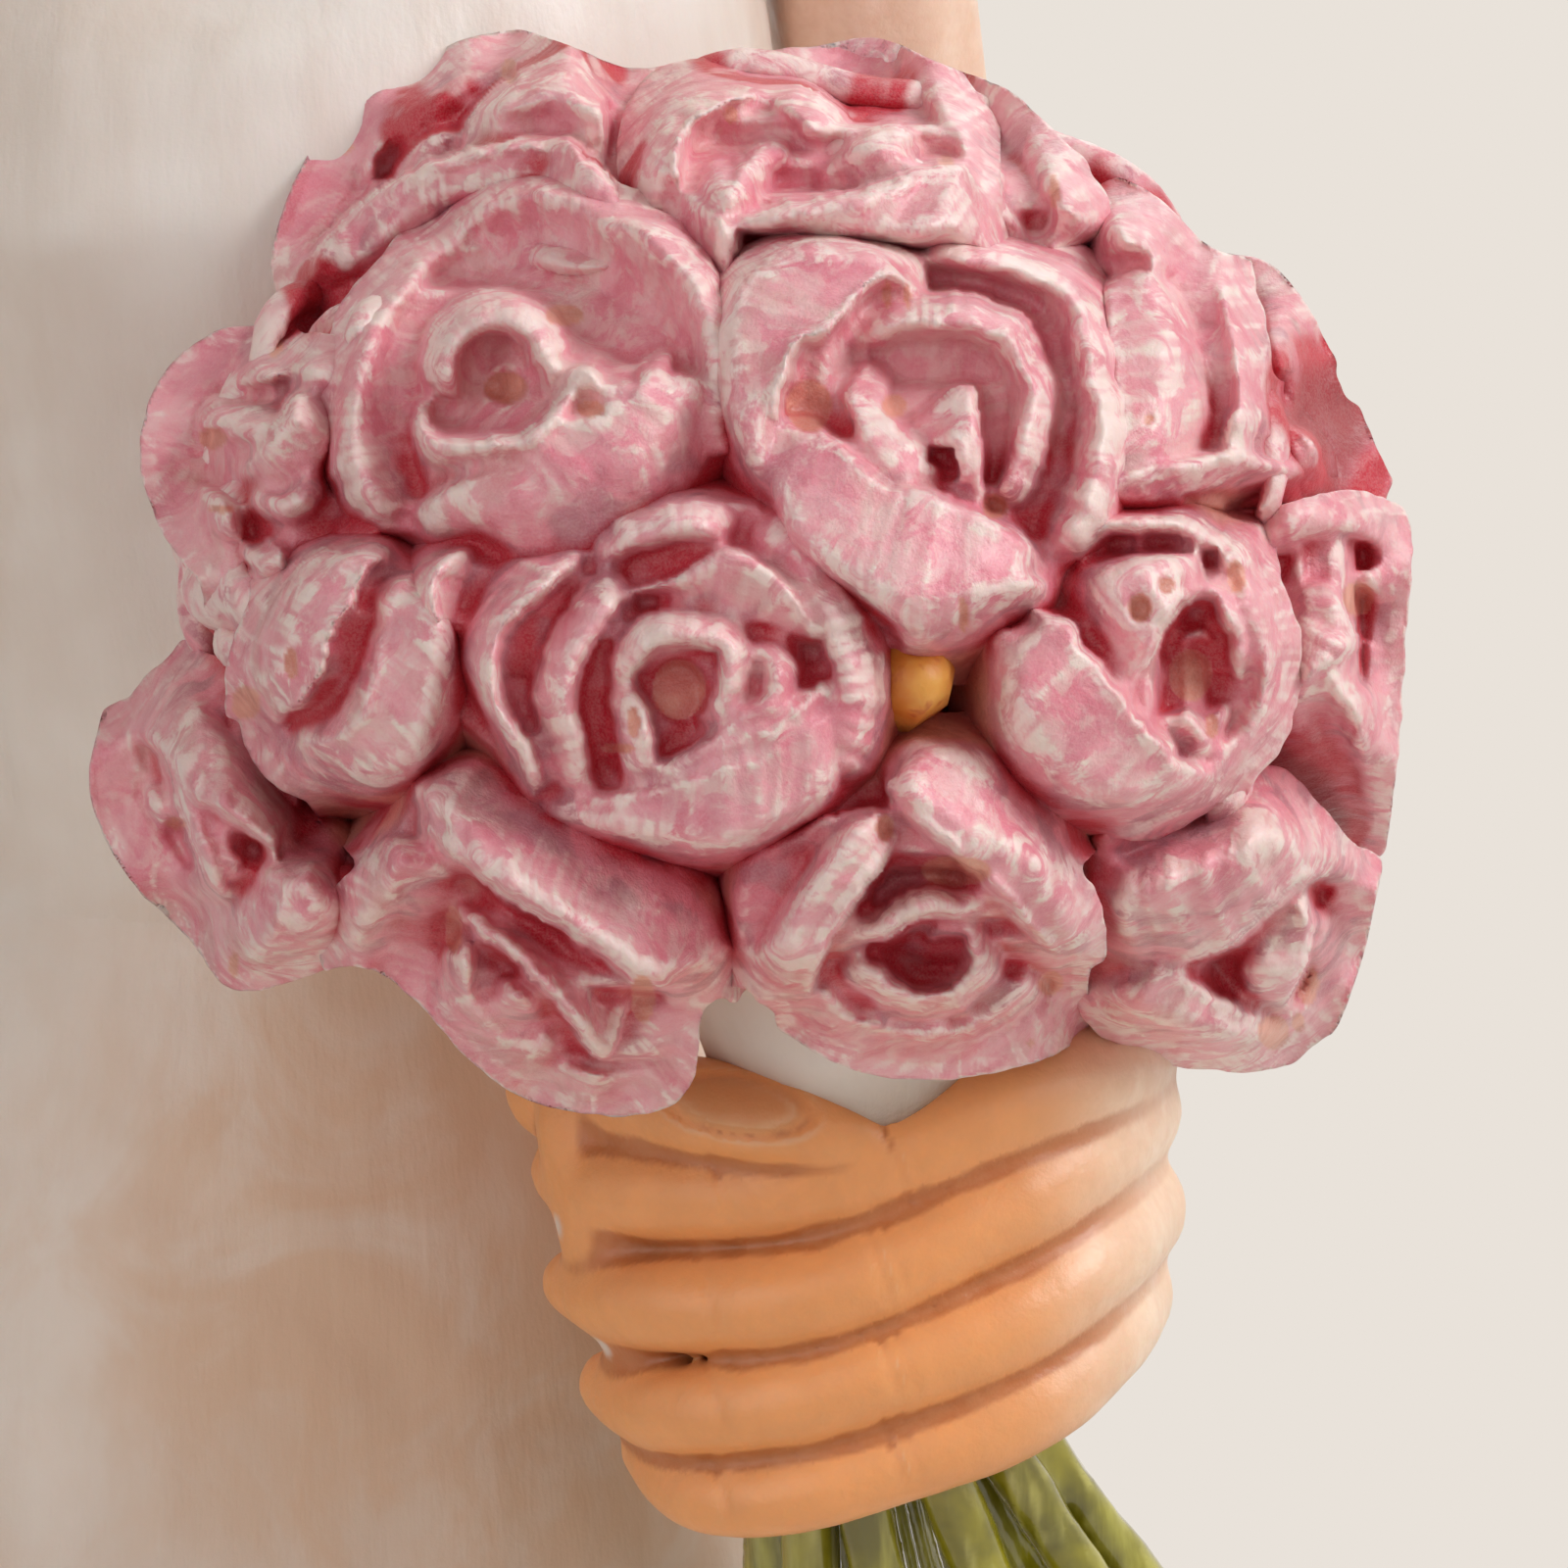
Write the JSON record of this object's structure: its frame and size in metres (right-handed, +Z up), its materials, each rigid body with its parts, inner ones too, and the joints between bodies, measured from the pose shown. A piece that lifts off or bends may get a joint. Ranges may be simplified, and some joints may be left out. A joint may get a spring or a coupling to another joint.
{
  "type": "wedding couple figurine",
  "caption": "Hand-painted resin bride and groom on an oval plinth; the bride holds a domed bouquet of pink roses in her left fist.",
  "frame": {"origin": "centre of the felt underside, on the surface that the plinth stands on", "axes": "+Z up, +X to the right of someone who faces the couple, the couple faces -Y"},
  "size_m": [0.12, 0.084, 0.1901],
  "materials": {
    "felt": "plain wool felt",
    "plinth_paint": "satin white paint on resin",
    "dowel_steel": "plain drawn steel",
    "gown_paint": "satin white paint with brush marks",
    "skin_resin": "flesh-coloured resin, satin",
    "petal_paint": "pink paint, white dry-brush, crimson wash, satin",
    "core_resin": "bare orange-flesh resin",
    "stem_paint": "glossy olive green",
    "suit_paint": "charcoal paint, eggshell",
    "shirt_paint": "satin white paint",
    "bow_paint": "glossy black paint",
    "shoe_paint": "glossy black paint",
    "brown_hair_paint": "brown paint with lighter strands",
    "dark_hair_paint": "dark brown paint with lighter strands",
    "veil_paint": "satin white paint, thin"
  },
  "bodies": {
    "root": {"felt_pad": "felt", "base_plinth": "plinth_paint", "bride_dowel": "dowel_steel", "groom_left_dowel": "dowel_steel", "groom_right_dowel": "dowel_steel", "bride_skirt": "gown_paint", "bride_bodice": "gown_paint", "bride_shoulders": "skin_resin", "bride_head": "skin_resin", "bride_hair": "brown_hair_paint", "bride_veil": "veil_paint", "bride_left_arm": "skin_resin", "bride_left_hand": "skin_resin", "bride_right_arm": "skin_resin", "bride_right_hand": "skin_resin", "bouquet_core": "core_resin", "bouquet_stems": "stem_paint", "bouquet_cuff": "gown_paint", "rose_01": "petal_paint", "rose_02": "petal_paint", "rose_03": "petal_paint", "rose_04": "petal_paint", "rose_05": "petal_paint", "rose_06": "petal_paint", "rose_07": "petal_paint", "rose_08": "petal_paint", "rose_09": "petal_paint", "rose_10": "petal_paint", "rose_11": "petal_paint", "rose_12": "petal_paint", "rose_13": "petal_paint", "rose_14": "petal_paint", "rose_15": "petal_paint", "rose_16": "petal_paint", "rose_17": "petal_paint", "rose_18": "petal_paint", "rose_19": "petal_paint", "rose_20": "petal_paint", "rose_21": "petal_paint", "rose_22": "petal_paint", "rose_23": "petal_paint", "groom_trousers": "suit_paint", "groom_left_shoe": "shoe_paint", "groom_right_shoe": "shoe_paint", "groom_jacket": "suit_paint", "groom_shirt": "shirt_paint", "groom_collar": "shirt_paint", "groom_bow_tie": "bow_paint", "groom_left_sleeve": "suit_paint", "groom_right_sleeve": "suit_paint", "groom_left_hand": "skin_resin", "groom_right_hand": "skin_resin", "groom_head": "skin_resin", "groom_hair": "dark_hair_paint"}
  },
  "joints": []
}
